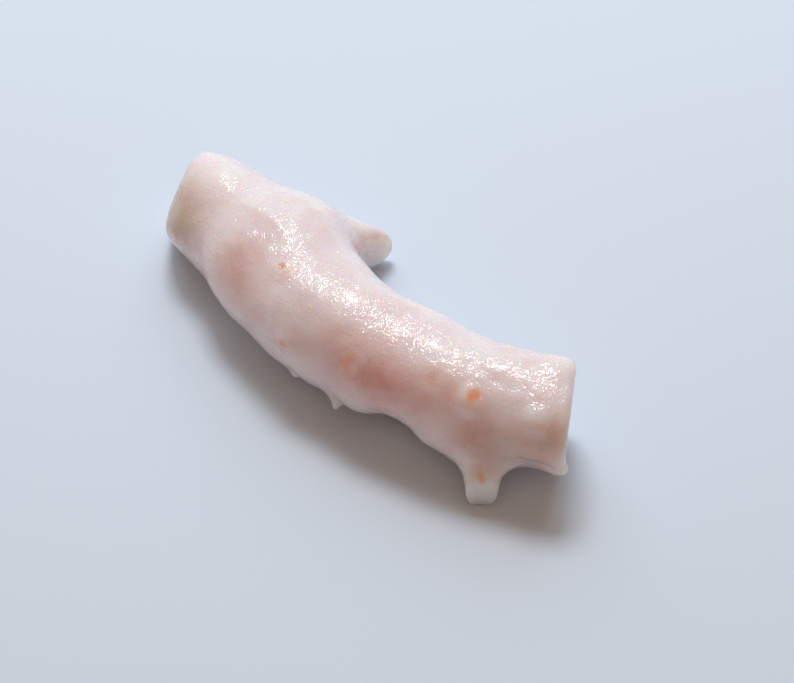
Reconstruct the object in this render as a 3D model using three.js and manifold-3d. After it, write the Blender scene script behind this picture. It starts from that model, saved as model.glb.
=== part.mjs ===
import * as THREE from 'three';
import { mergeVertices } from 'three/addons/utils/BufferGeometryUtils.js';
import Module from 'manifold-3d';

// Polished piece of pink coral: a bent stem with two side branches, all cut off flat.
// It lies on a level surface on its left end, its front branch and its rear branch.
// Millimetres, +Z up, +X along the stem towards its right end, -Y towards the viewer.
// The origin is on the surface, under the middle of the piece.

// Driving dimensions
const STEM_RADIUS = 4.7;
const REAR_RADIUS = 1.8;
const FRONT_RADIUS = 1.35;
const LEFT_CUT_X = -20.3;
const RIGHT_CUT_X = 20.15;
const BRANCH_GAP = 0.3;

// Fineness of the facets
const STEM_RINGS = 100;
const STEM_SIDES = 36;
const BRANCH_RINGS = 26;
const BRANCH_SIDES = 22;
const KNOB_SIDES = 12;
const CUTTER = 30;

// Each station is a place on the centre line, then half width and half height there,
// both as a share of the branch's own radius
const STEM_STATIONS = [
  [-24.5, 2.9, 3.85, 0.81, 0.81],
  [-20.0, 2.4, 3.95, 0.86, 0.83],
  [-16.5, 2.0, 4.2, 0.98, 0.88],
  [-12.5, 1.25, 4.55, 1.13, 0.96],
  [-8.5, -0.1, 4.9, 1.27, 1.02],
  [-4.0, -2.1, 5.05, 1.15, 1.02],
  [0.5, -3.3, 5.1, 1.07, 1.02],
  [5.5, -3.6, 5.1, 1.02, 0.99],
  [10.5, -3.4, 5.1, 1.01, 0.98],
  [15.5, -2.5, 5.05, 0.98, 0.95],
  [20.5, -1.0, 5.15, 0.93, 0.91],
  [24.5, 0.2, 5.2, 0.89, 0.89],
];
const REAR_STATIONS = [
  [-8.7, 0.1, 4.8, 2.3, 2.2],
  [-7.9, 3.1, 4.3, 1.75, 1.7],
  [-6.5, 5.4, 3.5, 1.28, 1.22],
  [-4.8, 6.7, 2.75, 1.07, 1.02],
  [-3.05, 7.6, 1.8, 1.0, 1.02],
  [-1.1, 8.25, 1.75, 0.97, 0.98],
];
const FRONT_STATIONS = [
  [13.5, -3.1, 4.8, 2.6, 2.3],
  [14.8, -5.3, 3.7, 1.85, 1.6],
  [15.85, -6.8, 2.4, 1.18, 1.13],
  [16.75, -8.15, 1.5, 1.0, 1.04],
  [17.75, -9.65, 1.15, 0.97, 1.0],
];

// Each cut is a point of the flat face and the way that the face looks
const LEFT_CUT = { at: [LEFT_CUT_X, 2.5, 4.0], facing: [-0.93, -0.27, 0.25] };
const RIGHT_CUT = { at: [RIGHT_CUT_X, -1.1, 5.1], facing: [0.9, 0.43, -0.02] };
const REAR_CUT = { at: [-3.2, 7.6, 1.9], facing: [0.98, 0.03, -0.16] };
const FRONT_CUT = { at: [16.95, -8.25, 1.4], facing: [0.56, -0.82, 0.09] };

// Rounded swells, mounds, hollows and polyp pits of the stem: where each lies on the skin,
// how far it reaches and how high it stands, or how deep it lies where that is negative
const STEM_RELIEF = [
  [14.2, -5.5, 8.8, 1.9, 0.45],
  [14.2, -5.5, 8.8, 0.7, -0.55],
  [-5.0, -3.8, 9.6, 1.7, 0.35],
  [-5.0, -3.8, 9.6, 0.7, -0.45],
  [-2.0, -7.9, 6.3, 1.6, 0.35],
  [-2.0, -7.9, 6.3, 0.7, -0.45],
  [3.9, -7.6, 7.7, 1.3, -0.25],
  [10.8, -6.1, 8.9, 1.2, -0.2],
  [18.9, -3.9, 8.9, 1.6, 0.3],
  [-9.5, -4.2, 8.2, 4.0, 0.3],
  [7.8, -7.4, 2.6, 3.4, -0.65],
  [-10.5, -3.8, 2.0, 3.6, -0.4],
  [4.6, -7.8, 2.8, 2.6, 0.35],
  [11.9, -7.4, 3.0, 2.4, 0.3],
  [-14.6, 5.9, 5.2, 1.9, 0.35],
  [-14.6, 5.9, 5.2, 0.7, -0.45],
  [-4.0, -6.4, 2.2, 3.4, 0.4],
  [5.0, 1.3, 6.5, 1.9, 0.35],
  [5.0, 1.3, 6.5, 0.7, -0.45],
  [16.0, 1.9, 4.6, 2.0, 0.3],
  [1.5, 0.4, 2.4, 2.4, -0.3],
  [-12.5, 1.5, 0.1, 4.0, -0.3],
  [13.0, -1.5, 0.5, 2.8, -0.3],
];

// Long folds of the stem: from, to, reach and height
const STEM_FOLDS = [
  [[10.3, -4.4, 9.7], [13.8, -4.2, 9.5], 0.8, -0.25],
  [[13.8, -4.2, 9.5], [16.8, -2.9, 9.4], 0.8, -0.25],
  [[17.3, -6.7, 3.2], [21.4, -5.0, 3.6], 0.9, 0.2],
  [[-18.0, 4.6, 6.8], [-10.5, 5.2, 7.2], 1.4, -0.2],
  [[3.0, 1.2, 3.4], [13.0, 1.6, 3.2], 1.3, 0.25],
];

// Slow waves that keep the stem from being an even tube: length along the stem, how many
// crests go around it, and where around it they start
const WAVE_HEIGHT = 0.07;
const WAVES = [
  { length: 7.5, crests: 2, start: 0 },
  { length: 12, crests: -3, start: 1 },
];

// Small pointed knobs left by the polishing: foot, way up, radius and height
const KNOBS = [
  { at: [2.9, -7.3, 2.3], toward: [0.25, -0.72, -0.64], radius: 0.9, height: 0.9 },
  { at: [-1.6, -7.1, 2.2], toward: [0.1, -0.75, -0.65], radius: 0.6, height: 0.45 },
  { at: [13.2, -6.6, 2.3], toward: [0.3, -0.72, -0.62], radius: 0.6, height: 0.5 },
  { at: [21.0, -4.3, 3.5], toward: [0.3, -0.68, -0.66], radius: 0.7, height: 0.6 },
];
const KNOB_ROOT = 0.8;

// A knob's outline above its root: share of its radius, share of its height
const KNOB_OUTLINE = [[0.85, 0.15], [0.45, 0.75], [0, 1]];
const KNOB_SPREAD = 1.5;

const coral = { color: 0xe3c9c4, roughness: 0.25, metalness: 0 };

const wasm = await Module();
wasm.setup();

function vector([x, y, z]) {
  return new THREE.Vector3(x, y, z);
}

// 1 at the middle of a mound, falling smoothly to 0 at its reach
function mound(distance, reach) {
  const share = Math.min(distance / reach, 1);
  return (1 - share ** 2) ** 2;
}

// How far the stem's skin stands out at a point, where turn is the angle around the stem
function stemRelief(point, turn) {
  let height = 0;
  for (const { length, crests, start } of WAVES) {
    height += WAVE_HEIGHT * Math.sin(2 * Math.PI * point.x / length + crests * turn + start);
  }
  for (const [x, y, z, reach, rise] of STEM_RELIEF) {
    height += rise * mound(point.distanceTo(new THREE.Vector3(x, y, z)), reach);
  }
  for (const [from, to, reach, rise] of STEM_FOLDS) {
    const fold = new THREE.Line3(vector(from), vector(to));
    const nearest = fold.closestPointToPoint(point, true, new THREE.Vector3());
    height += rise * mound(point.distanceTo(nearest), reach);
  }
  return height;
}

function smoothCurve(points) {
  return new THREE.CatmullRomCurve3(points, false, 'catmullrom', 0.5);
}

// A closed mesh as a solid that can be joined and cut
function solidOf(geometry) {
  const bare = geometry.clone();
  bare.deleteAttribute('normal');
  bare.deleteAttribute('uv');
  const merged = mergeVertices(bare);
  return new wasm.Manifold(new wasm.Mesh({
    numProp: 3,
    vertProperties: new Float32Array(merged.attributes.position.array),
    triVerts: new Uint32Array(merged.index.array),
  }));
}

function geometryOf(solid) {
  const mesh = solid.getMesh();
  const geometry = new THREE.BufferGeometry();
  geometry.setAttribute('position', new THREE.BufferAttribute(new Float32Array(mesh.vertProperties), 3));
  geometry.setIndex(new THREE.BufferAttribute(new Uint32Array(mesh.triVerts), 1));
  geometry.computeVertexNormals();
  return geometry;
}

// Oval rings on a smooth line through the stations, closed at both ends, with the relief
// that stands out from them
function branchGeometry(stations, radius, rings, sides, relief = () => 0) {
  const line = smoothCurve(stations.map(([x, y, z]) => new THREE.Vector3(x, y, z)));
  const girth = smoothCurve(stations.map(([, , , wide, tall]) => new THREE.Vector3(wide, tall, 0)));
  const geometry = new THREE.CylinderGeometry(1, 1, 1, sides, rings);
  const position = geometry.attributes.position;
  const up = new THREE.Vector3(0, 0, 1);
  for (let i = 0; i < position.count; i += 1) {
    const t = position.getY(i) + 0.5;
    const along = line.getTangent(t);
    const side = new THREE.Vector3().crossVectors(up, along).normalize();
    const top = new THREE.Vector3().crossVectors(along, side);
    const { x: wide, y: tall } = girth.getPoint(t);
    const across = position.getX(i);
    const upward = -position.getZ(i);
    const point = line.getPoint(t);
    point.addScaledVector(side, across * wide * radius);
    point.addScaledVector(top, upward * tall * radius);
    const height = relief(point, Math.atan2(across, upward));
    point.addScaledVector(side, across * height);
    point.addScaledVector(top, upward * height);
    position.setXYZ(i, point.x, point.y, point.z);
  }
  return geometry;
}

// Everything beyond a cut's flat face
function beyond(cut) {
  const facing = vector(cut.facing).normalize();
  const box = new THREE.BoxGeometry(CUTTER, CUTTER, CUTTER);
  box.translate(0, 0, CUTTER / 2);
  box.applyQuaternion(new THREE.Quaternion().setFromUnitVectors(new THREE.Vector3(0, 0, 1), facing));
  box.translate(...cut.at);
  return solidOf(box);
}

// A low cone with a rounded tip, its root spreading inside the stem
function knob({ at, toward, radius, height }) {
  const profile = [
    new THREE.Vector2(0, -KNOB_ROOT),
    new THREE.Vector2(KNOB_SPREAD * radius, -KNOB_ROOT),
    ...KNOB_OUTLINE.map(([out, up]) => new THREE.Vector2(out * radius, up * height)),
  ];
  const cone = new THREE.LatheGeometry(profile, KNOB_SIDES);
  const up = new THREE.Vector3(0, 1, 0);
  cone.applyQuaternion(new THREE.Quaternion().setFromUnitVectors(up, vector(toward).normalize()));
  cone.translate(...at);
  return solidOf(cone);
}

// The stem as it grew, its relief standing out by so much more all round
function grownStem(extra) {
  const relief = (point, turn) => stemRelief(point, turn) + extra;
  return solidOf(branchGeometry(STEM_STATIONS, STEM_RADIUS, STEM_RINGS, STEM_SIDES, relief));
}

function mainStem() {
  const grown = KNOBS.reduce((stem, each) => stem.add(knob(each)), grownStem(0));
  return grown.subtract(beyond(LEFT_CUT)).subtract(beyond(RIGHT_CUT));
}

// A side branch ends short of the stem by the gap that keeps the two solids apart
function sideBranch(stations, radius, cut) {
  return solidOf(branchGeometry(stations, radius, BRANCH_RINGS, BRANCH_SIDES))
    .subtract(beyond(cut))
    .subtract(grownStem(BRANCH_GAP));
}

function named(name, solid) {
  const mesh = new THREE.Mesh(geometryOf(solid), new THREE.MeshStandardMaterial(coral));
  mesh.name = name;
  return mesh;
}

const branch = new THREE.Group();
branch.add(named('main_stem', mainStem()));
branch.add(named('rear_branch', sideBranch(REAR_STATIONS, REAR_RADIUS, REAR_CUT)));
branch.add(named('front_branch', sideBranch(FRONT_STATIONS, FRONT_RADIUS, FRONT_CUT)));

export default branch;
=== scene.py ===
import bpy
import numpy as np
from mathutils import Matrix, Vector


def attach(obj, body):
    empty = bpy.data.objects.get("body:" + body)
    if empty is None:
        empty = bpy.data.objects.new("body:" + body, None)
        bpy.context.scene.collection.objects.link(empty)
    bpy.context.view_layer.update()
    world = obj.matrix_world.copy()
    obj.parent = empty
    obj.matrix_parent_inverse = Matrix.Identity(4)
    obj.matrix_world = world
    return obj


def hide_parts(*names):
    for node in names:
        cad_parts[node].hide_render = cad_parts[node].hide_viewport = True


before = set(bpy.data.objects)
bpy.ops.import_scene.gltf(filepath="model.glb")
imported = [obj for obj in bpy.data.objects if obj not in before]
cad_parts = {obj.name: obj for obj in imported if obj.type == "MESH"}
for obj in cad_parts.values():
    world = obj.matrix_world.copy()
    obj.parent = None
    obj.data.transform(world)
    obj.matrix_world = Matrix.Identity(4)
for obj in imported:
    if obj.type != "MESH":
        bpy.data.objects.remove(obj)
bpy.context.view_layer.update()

# A polished branch of pink coral: one skin over the stem and its two side branches. The skin is
# worked out in millimetres from a distance formula, and written in metres.
MM = 0.001

# Driving dimensions, in millimetres
STEM_RADIUS = 4.7
REAR_RADIUS = 1.8
FRONT_RADIUS = 1.35

# Size of the skin's quads, the short step that measures the distance's slope, the least square of
# that slope, the longest move at a time, the rounds of the first moves and the smoothings after them
SKIN_GRAIN = 0.146
SLOPE_STEP = 0.01
LEAST_SLOPE = 0.3
LONGEST_MOVE = 0.6
FIRST_ROUNDS = 3
SMOOTHINGS = 2

# Samples along each centre line, then sides and rings of the rough tubes
STEM_SAMPLES = 500
SIDE_SAMPLES = 160
KNOB_SAMPLES = 30
STEM_SIDES = 96
BRANCH_SIDES = 48
KNOB_SIDES = 12
BRANCH_RINGS = 240
KNOB_RINGS = 12

# Points taken at a time, how far a place stays before the line's end, and where the end is felt
BATCH = 20000
SHORT_OF_END = 1.001
END_SLACK = 0.01

# Places on each centre line, then half width and half height as a share of the branch's radius
STEM_STATIONS = [
    (-24.5, 2.9, 3.85, 0.81, 0.81),
    (-20.0, 2.4, 3.95, 0.86, 0.83),
    (-16.5, 2.0, 4.2, 0.98, 0.88),
    (-12.5, 1.25, 4.55, 1.13, 0.96),
    (-8.5, -0.1, 4.9, 1.27, 1.02),
    (-4.0, -2.1, 5.05, 1.15, 1.02),
    (0.5, -3.3, 5.1, 1.07, 1.02),
    (5.5, -3.6, 5.1, 1.02, 0.99),
    (10.5, -3.4, 5.1, 1.01, 0.98),
    (15.5, -2.5, 5.05, 0.98, 0.95),
    (20.5, -1.0, 5.15, 0.93, 0.91),
    (24.5, 0.2, 5.2, 0.89, 0.89),
]
REAR_STATIONS = [
    (-8.7, 0.1, 4.8, 2.3, 2.2),
    (-7.9, 3.1, 4.3, 1.75, 1.7),
    (-6.5, 5.4, 3.5, 1.28, 1.22),
    (-4.8, 6.7, 2.75, 1.07, 1.02),
    (-3.05, 7.4, 1.88, 1.06, 1.05),
    (-1.1, 8.0, 1.85, 1.06, 1.02),
]
FRONT_STATIONS = [
    (13.5, -3.1, 4.8, 2.6, 2.3),
    (14.8, -5.3, 3.7, 1.85, 1.6),
    (15.85, -6.8, 2.4, 1.18, 1.13),
    (16.75, -8.15, 1.5, 0.94, 1.04),
    (17.75, -9.65, 1.15, 0.86, 1.0),
]

# How square each branch's oval is: 2 is a true ellipse
ROUND = 2.0
SQUARISH = 3.0

# Each sawn face and the resting side: a point of it, the way it looks, how far its rim is rounded
LEFT_CUT = ((-20.3, 2.5, 4.0), (-0.93, -0.27, 0.25), 1.6)
RIGHT_CUT = ((20.15, -1.1, 5.1), (0.9, 0.43, -0.02), 0.8)
REAR_CUT = ((-3.55, 7.4, 1.9), (0.93, -0.3, 0.05), 0.7)
FRONT_CUT = ((17.05, -8.4, 1.4), (0.56, -0.82, 0.09), 0.35)
RESTING_SIDE = ((0.0, 0.0, 0.0), (0.0, 0.0, -1.0), 0.15)

# Fillets where branches and knobs leave the stem
REAR_FILLET = 2.6
FRONT_FILLET = 2.0
KNOB_FILLET = 0.7

# Swells and hollows: where, how far they reach, how high they stand
SWELLS = [
    (14.1, -6.2, 8.5, 1.8, 0.5),
    (-5.0, -3.8, 9.6, 1.5, 0.25),
    (-2.0, -7.9, 6.5, 1.4, 0.28),
    (3.9, -7.6, 7.7, 1.3, -0.12),
    (10.8, -6.1, 8.9, 1.2, -0.12),
    (19.3, -4.9, 8.4, 1.7, 0.42),
    (18.3, 0.5, 9.0, 2.8, 0.45),
    (13.9, -0.3, 9.2, 1.1, 0.18),
    (-17.6, 3.3, 8.0, 4.5, 0.4),
    (-15.6, 1.9, 8.7, 3.6, 0.6),
    (-12.6, -1.4, 8.9, 3.6, -0.2),
    (-8.6, -5.0, 8.2, 3.0, -0.15),
    (19.7, -5.8, 3.4, 2.3, -0.35),
    (7.8, -7.4, 2.6, 3.4, -0.65),
    (-10.5, -3.8, 2.0, 3.6, -0.4),
    (4.6, -7.8, 2.8, 2.6, 0.35),
    (11.9, -7.4, 3.0, 2.4, 0.3),
    (-14.6, 5.9, 4.2, 1.9, 0.2),
    (-4.0, -6.4, 2.2, 3.4, 0.4),
    (5.0, 1.0, 4.6, 1.9, 0.2),
    (16.0, 1.9, 4.0, 2.0, 0.2),
    (1.5, 0.4, 2.4, 2.4, -0.3),
    (-12.5, 1.5, 0.1, 4.0, -0.3),
    (13.0, -1.5, 0.5, 2.8, -0.3),
]

# Polyp pits: where, radius, depth and how orange the pit's floor is
PITS = [
    (14.25, -5.75, 8.8, 0.5, 0.12, 0.0),
    (-5.0, -3.9, 9.8, 0.36, 0.16, 0.85),
    (-2.0, -8.1, 6.3, 0.4, 0.1, 0.75),
    (-0.3, -7.2, 8.1, 0.16, 0.06, 0.4),
    (-14.6, 6.2, 4.2, 0.5, 0.15, 0.8),
    (5.0, 1.1, 4.6, 0.5, 0.15, 0.9),
    (12.4, 1.2, 4.2, 0.45, 0.12, 0.7),
    (-17.5, 0.4, 0.6, 0.45, 0.12, 0.6),
    (2.0, -3.5, 0.2, 0.5, 0.15, 0.8),
    (-6.0, -3.0, 0.7, 0.45, 0.12, 0.7),
]

# Folds: from, to, reach and height
FOLDS = [
    ((10.4, -4.6, 9.7), (12.4, -4.5, 9.6), 0.9, -0.06),
    ((12.8, -3.9, 9.6), (15.0, -3.9, 9.5), 0.8, -0.09),
    ((15.2, -4.1, 9.4), (17.4, -3.4, 9.3), 0.9, -0.07),
    ((17.4, -6.7, 3.1), (21.2, -5.1, 3.5), 0.8, 0.15),
    ((17.2, -6.7, 4.2), (19.0, -6.2, 4.6), 0.6, -0.07),
    ((19.0, -6.2, 4.6), (21.0, -5.2, 4.3), 0.6, -0.07),
    ((-18.0, 4.6, 5.6), (-10.5, 5.2, 5.8), 1.4, -0.2),
    ((3.0, 1.2, 3.4), (13.0, 1.6, 3.2), 1.3, 0.2),
]

# A pit's steepness, and its small rim: height as a share of its depth, place and width as shares
# of its radius
PIT_STEEPNESS = 1.4
RIM_HEIGHT = 0.15
RIM_PLACE = 1.5
RIM_WIDTH = 0.4

# Slow waves around the stem: length, crests around it, start
WAVE_HEIGHT = 0.07
WAVES = [(7.5, 2, 0.0), (12.0, -3, 1.0)]

# Fine lumps all over: height, length, and where each starts in the noise
LUMP_SEED = 7
LATTICE_SIZE = 32
LATTICE_START = 100.0
FINE_LUMPS = [(0.05, 1.9, 0.0), (0.025, 0.8, 31.0), (0.008, 0.45, 57.0)]

# Knobs and the spur on the right rim: foot, way up, radius and height
KNOBS = [
    ((2.8, -7.6, 2.15), (0.22, -0.72, -0.64), 1.15, 0.75),
    ((-1.6, -7.1, 2.2), (0.1, -0.75, -0.65), 0.6, 0.4),
    ((13.2, -6.6, 2.3), (0.3, -0.72, -0.62), 0.45, 0.55),
]
SPUR = ((21.2, -4.4, 3.9), (0.95, -0.2, -0.2), 0.5, 0.85)

# A knob's radius at its tip, and how deep its root goes
KNOB_TIP = 0.3
KNOB_ROOT = 0.9


def catmull(points, t):
    """Uniform Catmull-Rom curve through the rows of points: the cubic whose slope at each row is
    half the step between its neighbours, with the first and last rows reflected to make the ends."""
    count = len(points)
    rows = np.vstack([2 * points[0] - points[1], points, 2 * points[-1] - points[-2]])
    i = np.clip(np.floor(t).astype(int), 0, count - 2)
    u = (t - i)[:, None]
    p0, p1, p2, p3 = rows[i], rows[i + 1], rows[i + 2], rows[i + 3]
    cubic = 3 * p1 - p0 - 3 * p2 + p3
    return 0.5 * (2 * p1 + (p2 - p0) * u + (2 * p0 - 5 * p1 + 4 * p2 - p3) * u**2 + cubic * u**3)


def unit(v):
    """Rows scaled to length one."""
    v = np.asarray(v, float)
    return v / np.linalg.norm(v, axis=-1, keepdims=True)


class Branch:
    """One branch's centre line as fine samples: centre, direction, side, top and half sizes."""

    def __init__(self, stations, radius, samples, squareness):
        self.squareness = squareness
        rows = np.array(stations, float)
        rows[:, 3:] *= radius
        t = np.linspace(0, len(rows) - 1, samples)
        at = catmull(rows, t)
        self.centre = at[:, :3]
        self.girth = at[:, 3:]
        self.along = unit(np.gradient(self.centre, axis=0))
        self.side = unit(np.cross((0.0, 0.0, 1.0), self.along))
        self.top = np.cross(self.along, self.side)
        self.step = np.linalg.norm(np.gradient(self.centre, axis=0), axis=1)

    def locate(self, points):
        """For each point the place on the line nearest to it: the nearest sample, moved along the
        line's direction there to the foot of the perpendicular."""
        nearest = np.empty(len(points), int)
        low = self.centre.astype(np.float32)
        square = (low**2).sum(1)
        for start in range(0, len(points), BATCH):
            part = points[start:start + BATCH].astype(np.float32)
            nearest[start:start + BATCH] = np.argmin(square - 2 * part @ low.T, axis=1)
        reach = ((points - self.centre[nearest]) * self.along[nearest]).sum(1)
        raw = nearest + reach / self.step[nearest]
        place = np.clip(raw, 0, len(self.centre) - SHORT_OF_END)
        past = np.abs(raw - place) * self.step[nearest]
        i = place.astype(int)
        w = (place - i)[:, None]
        tables = (self.centre, self.side, self.top, self.girth)
        return [table[i] * (1 - w) + table[i + 1] * w for table in tables] + [past]

    def distance(self, points, relief=None):
        """Distance to the branch's oval tube: how far the point's oval radius is past one, times the
        mean half size, less the relief that stands out there, and flat beyond the line's ends."""
        centre, side, top, girth, past = self.locate(points)
        offset = points - centre
        across = (offset * side).sum(1) / girth[:, 0]
        upward = (offset * top).sum(1) / girth[:, 1]
        p = self.squareness
        oval = (np.abs(across) ** p + np.abs(upward) ** p) ** (1 / p)
        d = (oval - 1) * np.sqrt(girth[:, 0] * girth[:, 1])
        if relief is not None:
            d = d - relief(points, np.arctan2(across, upward))
        return np.where(past > END_SLACK, np.maximum(d, past), d)

    def tube(self, sides, cuts, rings=BRANCH_RINGS):
        """Rings of the oval tube. Along each of its lines, at one angle, the rings share out evenly
        the stretch that lies inside the cuts' planes, so its ends are flat. A fan closes each."""
        angle = np.linspace(0, 2 * np.pi, sides, endpoint=False)
        ring = np.cos(angle)[None, :, None] * self.girth[:, :1, None] * self.side[:, None]
        ring = ring + np.sin(angle)[None, :, None] * self.girth[:, 1:, None] * self.top[:, None]
        v = self.centre[:, None] + ring
        inside = np.ones(v.shape[:2], bool)
        for at, facing, _ in cuts:
            inside &= (v - np.array(at)) @ unit(facing) < 0
        first = inside.argmax(0)
        last = len(v) - 1 - inside[::-1].argmax(0)
        share = np.linspace(0, 1, rings)[:, None]
        place = first * (1 - share) + last * share
        i = np.minimum(place.astype(int), len(v) - 2)
        w = (place - i)[:, :, None]
        column = np.arange(sides)[None, :]
        v = v[i, column] * (1 - w) + v[i + 1, column] * w
        k = np.arange(rings * sides).reshape(rings, sides)
        after = np.roll(k, -1, 1)
        quads = np.stack([k[:-1], after[:-1], after[1:], k[1:]], -1).reshape(-1, 4)
        return v.reshape(-1, 3), quads.tolist() + [k[0][::-1].tolist(), k[-1].tolist()]


def mound(distance, reach):
    """One at the middle, falling smoothly to nothing at its reach: (1 - share squared) squared."""
    return (1 - np.minimum(distance / reach, 1) ** 2) ** 2


def to_segment(points, start, end):
    """Distance to a straight line from start to end, and the share of the way along it."""
    start = np.array(start, float)
    way = np.array(end, float) - start
    share = np.clip((points - start) @ way / (way @ way), 0, 1)
    return np.linalg.norm(points - start - share[:, None] * way, axis=1), share


class Lumps:
    """Smooth noise in space: values of a small seeded lattice, blended between its corners."""

    def __init__(self, seed, size):
        self.size = size
        self.lattice = np.random.default_rng(seed).uniform(-1, 1, (size, size, size))

    def __call__(self, points, length):
        """The noise at each point, with lattice corners one length apart: the eight corners round the
        point, each times its share, which eases in and out along x, y and z."""
        p = points / length + LATTICE_START
        i = np.floor(p).astype(int)
        w = p - i
        w = w * w * (3 - 2 * w)
        total = np.zeros(len(points))
        for dx in (0, 1):
            for dy in (0, 1):
                for dz in (0, 1):
                    ix, iy, iz = (i + (dx, dy, dz)).T % self.size
                    corner = self.lattice[ix, iy, iz]
                    wx = w[:, 0] if dx else 1 - w[:, 0]
                    wy = w[:, 1] if dy else 1 - w[:, 1]
                    wz = w[:, 2] if dz else 1 - w[:, 2]
                    total += corner * wx * wy * wz
        return total


lumps = Lumps(LUMP_SEED, LATTICE_SIZE)
STEM = Branch(STEM_STATIONS, STEM_RADIUS, STEM_SAMPLES, ROUND)
REAR = Branch(REAR_STATIONS, REAR_RADIUS, SIDE_SAMPLES, ROUND)
FRONT = Branch(FRONT_STATIONS, FRONT_RADIUS, SIDE_SAMPLES, SQUARISH)


def stem_relief(points, turn):
    """How far the stem's skin stands out: slow waves, swells and folds."""
    height = np.zeros(len(points))
    for length, crests, start in WAVES:
        height += WAVE_HEIGHT * np.sin(2 * np.pi * points[:, 0] / length + crests * turn + start)
    for x, y, z, reach, rise in SWELLS:
        height += rise * mound(np.linalg.norm(points - (x, y, z), axis=1), reach)
    for start, end, reach, rise in FOLDS:
        height += rise * mound(to_segment(points, start, end)[0], reach)
    return height


def smooth_min(a, b, width):
    """The smaller of a and b, with a rounded change between them that is width wide."""
    h = np.maximum(width - np.abs(a - b), 0) / width
    return np.minimum(a, b) - h * h * width / 4


def smooth_max(a, b, width):
    """The larger of a and b, rounded in the same way."""
    return -smooth_min(-a, -b, width)


def cut(d, points, sawn):
    """The solid d without what lies past a sawn face, its rim rounded."""
    at, facing, rim = sawn
    return smooth_max(d, (points - np.array(at)) @ unit(facing), rim)


def knob_distance(points, at, toward, radius, height):
    """Distance to a knob: a line from its root to its tip, as thick as its radius at the foot and
    thinning to the tip."""
    at = np.array(at, float)
    up = unit(toward)
    d, share = to_segment(points, at - KNOB_ROOT * up, at + (height - KNOB_TIP) * up)
    return d - (radius + (KNOB_TIP - radius) * share)


def knob_tube(at, toward, radius, height):
    """The same knob as a rough closed tube."""
    up = unit(toward)
    ends = ((-KNOB_ROOT, 1.0), (0.0, 1.0), (height, KNOB_TIP / radius))
    stations = [(*(np.array(at) + step * up), share, share) for step, share in ends]
    return Branch(stations, radius, KNOB_SAMPLES, ROUND).tube(KNOB_SIDES, (), KNOB_RINGS)


def pit_depth(points):
    """Depth of the polyp pits, a flat-bottomed bell of the share of the radius, less the height of
    the small rims round them, a narrow bell."""
    depth = np.zeros(len(points))
    for x, y, z, radius, deep, _ in PITS:
        r = np.linalg.norm(points - (x, y, z), axis=1) / radius
        rim = RIM_HEIGHT * deep * np.exp(-(((r - RIM_PLACE) / RIM_WIDTH) ** 2))
        depth += deep * np.exp(-(r**4) * PIT_STEEPNESS) - rim
    return depth


def skin_distance(points):
    """Distance to the whole coral: stem, branches and knobs joined with fillets, sawn faces with
    rounded rims, and fine lumps and pits all over."""
    rear = cut(REAR.distance(points), points, REAR_CUT)
    front = cut(FRONT.distance(points), points, FRONT_CUT)
    d = STEM.distance(points, stem_relief)
    d = smooth_min(d, rear, REAR_FILLET)
    d = smooth_min(d, front, FRONT_FILLET)
    for knob in KNOBS:
        d = smooth_min(d, knob_distance(points, *knob), KNOB_FILLET)
    for height, length, start in FINE_LUMPS:
        d = d - height * lumps(points + start, length)
    d = cut(d + pit_depth(points), points, LEFT_CUT)
    d = cut(d, points, RIGHT_CUT)
    d = smooth_min(d, knob_distance(points, *SPUR), KNOB_FILLET)
    return cut(d, points, RESTING_SIDE)


def mesh_object(name, vertices, faces):
    """A mesh with these vertices and faces, as an object at the origin."""
    mesh = bpy.data.meshes.new(name)
    mesh.from_pydata(vertices.tolist(), [], faces)
    mesh.update()
    piece = bpy.data.objects.new(name, mesh)
    bpy.context.scene.collection.objects.link(piece)
    return piece


def evaluated_arrays(piece):
    """The vertices and the quads of a piece with its modifiers."""
    graph = bpy.context.evaluated_depsgraph_get()
    mesh = piece.evaluated_get(graph).to_mesh()
    count = len(mesh.vertices)
    v = np.empty(count * 3)
    mesh.vertices.foreach_get("co", v)
    loops = np.empty(len(mesh.loops), int)
    mesh.loops.foreach_get("vertex_index", loops)
    sizes = np.empty(len(mesh.polygons), int)
    mesh.polygons.foreach_get("loop_total", sizes)
    starts = np.empty(len(mesh.polygons), int)
    mesh.polygons.foreach_get("loop_start", starts)
    quads = loops[starts[sizes == 4][:, None] + np.arange(4)]
    piece.evaluated_get(graph).to_mesh_clear()
    return v.reshape(-1, 3), quads


def relax(v, quads):
    """Each vertex moved half way to the mean of the neighbours that it shares an edge with."""
    total = np.zeros_like(v)
    count = np.zeros(len(v))
    for corner in range(4):
        a = quads[:, corner]
        b = quads[:, (corner + 1) % 4]
        np.add.at(total, a, v[b])
        np.add.at(total, b, v[a])
        np.add.at(count, a, 1)
        np.add.at(count, b, 1)
    return 0.5 * v + 0.5 * total / count[:, None]


def settle(v, rounds):
    """Moves each vertex to the skin, against the slope of the distance: the distance over the slope,
    which is worked out from short steps along x, y and z."""
    for _ in range(rounds):
        d = skin_distance(v)
        rises = [skin_distance(v + step) - d for step in SLOPE_STEP * np.eye(3)]
        slope = np.stack(rises, 1) / SLOPE_STEP
        move = -d[:, None] * slope / np.maximum((slope**2).sum(1), LEAST_SLOPE)[:, None]
        length = np.linalg.norm(move, axis=1)
        v = v + move * np.minimum(1, LONGEST_MOVE / np.maximum(length, 1e-9))[:, None]
    return v


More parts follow.
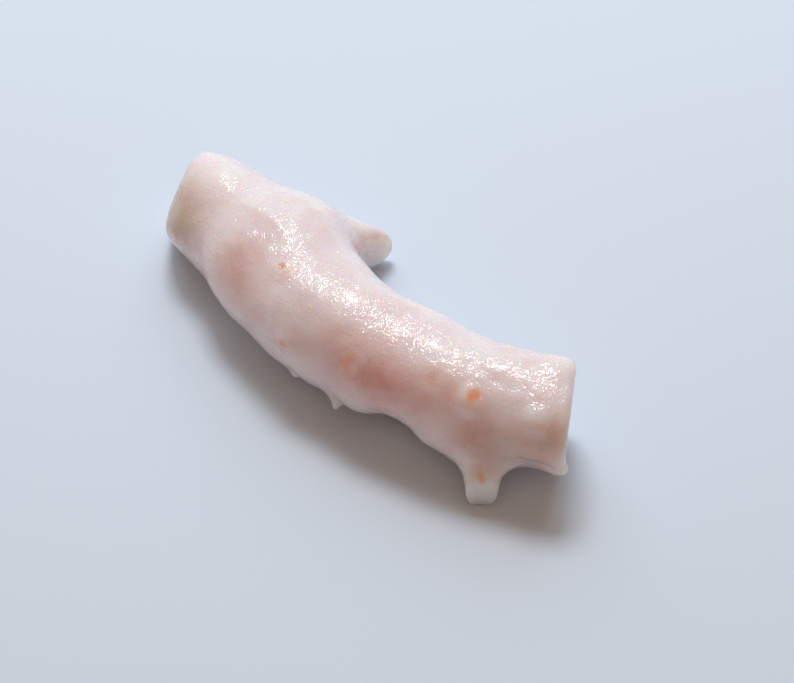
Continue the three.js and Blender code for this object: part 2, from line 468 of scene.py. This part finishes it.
def make_skin():
    """The rough tubes joined into one closed surface of even quads, settled on the skin's formula."""
    parts = [
        STEM.tube(STEM_SIDES, (LEFT_CUT, RIGHT_CUT)),
        REAR.tube(BRANCH_SIDES, (REAR_CUT,)),
        FRONT.tube(BRANCH_SIDES, (FRONT_CUT,)),
    ]
    parts += [knob_tube(*knob) for knob in KNOBS + [SPUR]]
    vertices, faces, offset = [], [], 0
    for v, f in parts:
        vertices.append(v)
        faces += [[i + offset for i in face] for face in f]
        offset += len(v)
    rough = mesh_object("rough_tubes", np.vstack(vertices), faces)
    remesh = rough.modifiers.new("even quads", "REMESH")
    remesh.mode = "VOXEL"
    remesh.voxel_size = SKIN_GRAIN
    v, quads = evaluated_arrays(rough)
    bpy.data.objects.remove(rough)
    v = settle(v, FIRST_ROUNDS)
    for _ in range(SMOOTHINGS):
        v = relax(v, quads)
        v = settle(v, 1)
    return v, quads


skin_v, skin_quads = make_skin()
skin = mesh_object("coral_branch", skin_v * MM, skin_quads.tolist())
skin.data.polygons.foreach_set("use_smooth", np.ones(len(skin.data.polygons), bool))
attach(skin, "root")
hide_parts("main_stem", "rear_branch", "front_branch")

# Colour patches on the skin: where, how far they reach and how strong they are
SALMON_PATCHES = [
    (-9.6, -3.9, 8.4, 3.6, 0.5),
    (-7.6, -5.2, 7.6, 2.8, 0.45),
    (3.0, -7.5, 7.4, 3.0, 0.5),
    (6.4, -7.2, 7.6, 3.8, 0.85),
    (9.4, -7.6, 7.0, 3.0, 0.5),
    (12.2, -6.2, 8.4, 2.8, 0.45),
    (15.5, -7.0, 5.9, 2.6, 0.7),
    (-5.0, -3.8, 9.6, 1.3, 0.4),
    (-2.0, -8.0, 6.3, 1.5, 0.4),
    (-14.0, 5.6, 3.6, 3.4, 0.5),
    (6.0, 1.2, 4.2, 3.4, 0.6),
    (15.0, 1.6, 4.0, 3.0, 0.5),
    (3.0, -3.0, 0.2, 5.0, 0.6),
    (-8.0, -1.0, 0.2, 4.0, 0.5),
]
# Beige patches: a tint that the coral has, and painted shade too. The first two, at the left end, are
# made strong to darken the stem's end where its side turns down and away from the light.
OCHRE_AND_SHADE_PATCHES = [
    (-19.8, 0.6, 5.4, 4.6, 1.3),
    (-16.6, -2.0, 6.2, 3.6, 0.9),
    (-18.8, -0.4, 2.6, 3.4, 0.8),
    (16.6, -7.0, 5.0, 2.2, 0.7),
    (18.6, -5.8, 5.6, 3.2, 0.7),
    (20.4, -4.6, 6.6, 3.0, 0.7),
    (-4.2, 8.4, 2.2, 2.0, 0.5),
    (-16.0, 4.8, 2.4, 3.2, 0.5),
    (12.0, 0.4, 3.0, 3.6, 0.5),
]

# Orange streaks beside the pits: from, to, reach and strength
PIT_STREAKS = [
    ((14.35, -5.6, 9.0), (14.2, -5.95, 8.7), 0.5, 0.95),
    ((3.9, -7.4, 8.0), (3.9, -7.8, 7.3), 0.35, 0.45),
    ((10.8, -6.0, 8.9), (10.8, -6.4, 8.5), 0.35, 0.3),
    ((12.8, -6.0, 8.6), (12.9, -6.3, 8.2), 0.35, 0.35),
    ((16.2, -7.8, 3.9), (16.4, -8.0, 3.5), 0.3, 0.25),
    ((16.6, -8.15, 3.2), (16.9, -8.35, 2.8), 0.26, 0.6),
]

# How far, how slowly and from where the patches' edges fray, and how fast a patch fades
FRAY = 0.8
FRAY_LENGTH = 2.3
FRAY_STARTS = (3.0, 17.0, 41.0)
PATCH_FADE = 2.2

# The orange floor as a share of a pit's radius
PIT_FLOOR = 0.85

# The sawn faces with how far each reaches from its point, and how deep their colour goes
SAWN_FACES = [(LEFT_CUT, 6.0), (RIGHT_CUT, 6.0), (REAR_CUT, 2.4), (FRONT_CUT, 2.0)]
SAWN_DEPTH = 0.12


def patch_mask(points, patches):
    """Sum of round patches, each its strength times a bell of its reach, frayed by the lumps."""
    frayed = points + FRAY * np.stack([lumps(points + k, FRAY_LENGTH) for k in FRAY_STARTS], 1)
    total = np.zeros(len(points))
    for x, y, z, reach, strength in patches:
        r = np.linalg.norm(frayed - (x, y, z), axis=1) / reach
        total += strength * np.exp(-PATCH_FADE * r * r)
    return np.minimum(total, 1)


def pit_mask(points):
    """One on the floors of the polyp pits and along the orange streaks."""
    total = np.zeros(len(points))
    for x, y, z, radius, _, orange in PITS:
        r = np.linalg.norm(points - (x, y, z), axis=1) / (PIT_FLOOR * radius)
        total = np.maximum(total, orange * np.exp(-(r**4)))
    for start, end, reach, orange in PIT_STREAKS:
        total = np.maximum(total, orange * np.exp(-((to_segment(points, start, end)[0] / reach) ** 2)))
    return total


def sawn_mask(points):
    """One on the flat sawn faces, falling to nothing at their rims."""
    total = np.zeros(len(points))
    for (at, facing, _), reach in SAWN_FACES:
        depth = (np.array(at) - points) @ unit(facing)
        near = np.linalg.norm(points - np.array(at), axis=1) < reach
        total = np.maximum(total, near * np.clip(1 - depth / SAWN_DEPTH, 0, 1))
    return total


def add_attribute(piece, name, values):
    """One number for each vertex, which the material reads by its name."""
    layer = piece.data.attributes.new(name, "FLOAT", "POINT")
    layer.data.foreach_set("value", values.astype(np.float32))


add_attribute(skin, "salmon", patch_mask(skin_v, SALMON_PATCHES))
# Beige patches, with painted shade at the left end, as one number per vertex
add_attribute(skin, "ochre_and_shade", patch_mask(skin_v, OCHRE_AND_SHADE_PATCHES))
add_attribute(skin, "pit", pit_mask(skin_v))
add_attribute(skin, "sawn", sawn_mask(skin_v))


class Wire:
    """A number in a shader: sums, products and differences of wires add Math nodes."""

    def __init__(self, shader, socket):
        self.shader = shader
        self.socket = socket

    def math(self, operation, *others):
        given = [self] + list(others)
        node = self.shader.node("ShaderNodeMath", {"operation": operation}, dict(enumerate(given)))
        return node.out()

    def flipped(self, operation, other):
        node = self.shader.node("ShaderNodeMath", {"operation": operation}, {0: other, 1: self})
        return node.out()

    def __add__(self, other):
        return self.math("ADD", other)

    def __mul__(self, other):
        return self.math("MULTIPLY", other)

    def __sub__(self, other):
        return self.math("SUBTRACT", other)

    def __rsub__(self, other):
        return self.flipped("SUBTRACT", other)

    __radd__ = __add__
    __rmul__ = __mul__

    def clipped(self):
        node = self.shader.node("ShaderNodeClamp", {}, {0: self})
        return node.out()


class Node:
    def __init__(self, shader, node):
        self.shader = shader
        self.node = node

    def out(self, name=0):
        return Wire(self.shader, self.node.outputs[name])


class Shader:
    """A material's node tree. node() takes a type, its settings, and its sockets' values or wires."""

    def __init__(self, name):
        self.material = bpy.data.materials.new(name)
        self.material.use_nodes = True
        self.tree = self.material.node_tree
        self.tree.nodes.clear()

    def node(self, kind, settings=None, sockets=None):
        node = self.tree.nodes.new(kind)
        for key, value in (settings or {}).items():
            setattr(node, key, value)
        for key, value in (sockets or {}).items():
            if isinstance(value, Wire):
                self.tree.links.new(value.socket, node.inputs[key])
            else:
                node.inputs[key].default_value = value
        return Node(self, node)

    def attribute(self, name):
        node = self.node("ShaderNodeAttribute", {"attribute_name": name})
        return node.out("Fac")

    def mixed(self, amount, first, second):
        """The first colour where amount is 0 and the second where it is 1."""
        node = self.node("ShaderNodeMix", {"data_type": "RGBA"}, {0: amount, 6: first, 7: second})
        return node.out(2)

    def noise(self, place, length, detail=3.0, roughness=0.5, distortion=0.0):
        sockets = {"Vector": place, "Scale": 1 / (length * MM), "Detail": detail,
                   "Roughness": roughness, "Distortion": distortion}
        return self.node("ShaderNodeTexNoise", {}, sockets).out(0)

    def finish(self, surface):
        self.node("ShaderNodeOutputMaterial", {}, {"Surface": surface})
        return self.material


def srgb(red, green, blue):
    """A colour read as 0 to 255 from a picture, as the linear colour that a shader takes."""
    c = np.array([red, green, blue]) / 255
    linear = np.where(c <= 0.04045, c / 12.92, ((c + 0.055) / 1.055) ** 2.4)
    return (*linear.tolist(), 1.0)


CORAL_PALE = srgb(244, 239, 241)
CORAL_PINK = srgb(231, 209, 214)
CORAL_SALMON = srgb(216, 150, 137)
# A beige tint, made dark enough that it also paints the shade on the left end's side turned from the
# light
CORAL_OCHRE_AND_SHADE = srgb(200, 174, 152)
PIT_ORANGE = srgb(242, 172, 124)
SAWN_GREY = srgb(242, 242, 244)
GLOW_RADIUS = (1.0, 0.5, 0.3)

# Lengths of the skin's patterns, the wrinkles' depth and how far light spreads, in millimetres
CLOUD = 4.5
MOTTLE = 0.9
WRINKLE = 0.75
FINE_WRINKLE = 0.38
COARSE_WRINKLE = 1.4
WRINKLE_DEPTH = 0.06
GLOW_DEPTH = 4.0

# The most that each patch covers what is under it
# The beige patches' cover also sets how dark their painted shade at the left end is
OCHRE_AND_SHADE_COVER = 0.7
SALMON_COVER = 0.75
SAWN_COVER = 0.6

# Roughness of the polish, and what the sawn faces and the mottling add to it
POLISH = 0.08
SAWN_DULLNESS = 0.3
MOTTLE_DULLNESS = 0.06


def coral_material():
    """Polished coral: pale pink clouds with salmon patches, beige patches that at the left end
    also paint shade, orange polyp pits, greyer sawn faces, light that enters and spreads, and a
    fine wrinkled gloss. A wrinkle is the distance of a noise from its middle value, so it has sharp
    valleys."""
    shader = Shader("polished_coral")
    place = shader.node("ShaderNodeTexCoord").out("Object")
    cloud = shader.noise(place, CLOUD, 4.0, 0.55, 0.6)
    mottle = shader.noise(place, MOTTLE, 4.0, 0.6, 0.4)
    pink = (cloud * 1.6 - 0.45).clipped()
    colour = shader.mixed(pink, CORAL_PALE, CORAL_PINK)
    # Beige patches, which at the left end also paint shade on the side turned from the light
    ochre_and_shade = (shader.attribute("ochre_and_shade") * (mottle * 0.8 + 0.55)).clipped()
    colour = shader.mixed(ochre_and_shade * OCHRE_AND_SHADE_COVER, colour, CORAL_OCHRE_AND_SHADE)
    salmon = (shader.attribute("salmon") * (mottle + 0.45)).clipped()
    colour = shader.mixed(salmon * SALMON_COVER, colour, CORAL_SALMON)
    sawn = shader.attribute("sawn")
    colour = shader.mixed(sawn * SAWN_COVER, colour, SAWN_GREY)
    colour = shader.mixed(shader.attribute("pit"), colour, PIT_ORANGE)
    wrinkle = (shader.noise(place, WRINKLE, 1.0, 0.5, 1.5) - 0.5).math("ABSOLUTE") * 2.0
    fine = (shader.noise(place, FINE_WRINKLE, 1.0, 0.5, 1.0) - 0.5).math("ABSOLUTE") * 0.7
    coarse = shader.noise(place, COARSE_WRINKLE, 1.0, 0.5, 0.3) * 0.5
    height = wrinkle + fine + coarse
    bump = shader.node("ShaderNodeBump", {}, {
        "Strength": 1.0,
        "Distance": WRINKLE_DEPTH * MM,
        "Height": height,
    })
    rough = POLISH + sawn * SAWN_DULLNESS + mottle * MOTTLE_DULLNESS
    coral = shader.node("ShaderNodeBsdfPrincipled", {"subsurface_method": "RANDOM_WALK"}, {
        "Base Color": colour,
        "Roughness": rough,
        "IOR": 1.6,
        "Subsurface Weight": 0.9,
        "Subsurface Radius": GLOW_RADIUS,
        "Subsurface Scale": GLOW_DEPTH * MM,
        "Normal": bump.out(),
    })
    return shader.finish(coral.out())


skin.data.materials.append(coral_material())

# The surface that it lies on, plain and pale
FLOOR_HALF = 0.6
FLOOR_COLOUR = srgb(215, 226, 241)
PAPER_TOOTH = 0.9
PAPER_TOOTH_DEPTH = 0.03


def make_floor():
    """A flat square of plain paper with a faint tooth, under the piece."""
    corners = np.array([(-1, -1, 0), (1, -1, 0), (1, 1, 0), (-1, 1, 0)]) * FLOOR_HALF
    floor = mesh_object("floor", corners, [[0, 1, 2, 3]])
    shader = Shader("pale_paper")
    place = shader.node("ShaderNodeTexCoord").out("Object")
    tooth = shader.noise(place, PAPER_TOOTH, 4.0, 0.6)
    bump = shader.node("ShaderNodeBump", {}, {
        "Strength": 0.25,
        "Distance": PAPER_TOOTH_DEPTH * MM,
        "Height": tooth,
    })
    paper = shader.node("ShaderNodeBsdfPrincipled", {}, {
        "Base Color": FLOOR_COLOUR,
        "Roughness": 0.75,
        "Normal": bump.out(),
    })
    floor.data.materials.append(shader.finish(paper.out()))


def make_light(name, towards, distance, width, depth, power, colour, mirrored):
    """A flat light at a distance from the piece, the way that towards gives, facing it. Where it is
    mirrored the gloss shows it."""
    data = bpy.data.lights.new(name, "AREA")
    data.shape = "RECTANGLE"
    data.size = width
    data.size_y = depth
    data.energy = power
    data.color = colour
    light = bpy.data.objects.new(name, data)
    bpy.context.scene.collection.objects.link(light)
    way = Vector(towards).normalized()
    light.location = way * distance
    light.rotation_mode = "QUATERNION"
    light.rotation_quaternion = way.to_track_quat("Z", "Y")
    light.visible_glossy = mirrored


def make_sky(colour, strength):
    """Even light from all around."""
    world = bpy.data.worlds.new("sky")
    world.use_nodes = True
    back_node = world.node_tree.nodes["Background"]
    back_node.inputs["Color"].default_value = colour
    back_node.inputs["Strength"].default_value = strength
    bpy.context.scene.world = world


make_floor()

# A small lamp that the gloss mirrors, a wide soft light beside it, and warm light from all around
make_light(
    "lamp", (-0.31, 0.385, 0.877), distance=0.4, width=0.125, depth=0.095, power=0.7,
    colour=(0.97, 0.99, 1.0), mirrored=True,
)
make_light(
    "window", (-0.38, 0.56, 0.74), distance=0.45, width=0.5, depth=0.36, power=1.2,
    colour=(0.66, 0.86, 1.0), mirrored=False,
)
make_sky(srgb(233, 199, 168), strength=0.4)
bpy.context.scene.view_settings.view_transform = "Standard"

# Camera at the photo's angle
CAMERA_AZIMUTH = np.radians(34.0)
CAMERA_RISE = np.radians(50.0)
CAMERA_DISTANCE = 176 * MM
CAMERA_TARGET = Vector((4.2 * MM, -1.2 * MM, 4.0 * MM))
back = Vector((
    np.sin(CAMERA_AZIMUTH) * np.cos(CAMERA_RISE),
    -np.cos(CAMERA_AZIMUTH) * np.cos(CAMERA_RISE),
    np.sin(CAMERA_RISE),
))
camera = bpy.data.objects.new("camera", bpy.data.cameras.new("camera"))
bpy.context.scene.collection.objects.link(camera)
camera.data.lens = 100
camera.data.sensor_width = 36
camera.data.clip_start = 0.005
camera.location = CAMERA_TARGET + back * CAMERA_DISTANCE
camera.rotation_mode = "QUATERNION"
camera.rotation_quaternion = (-back).to_track_quat("-Z", "Y")
bpy.context.scene.camera = camera
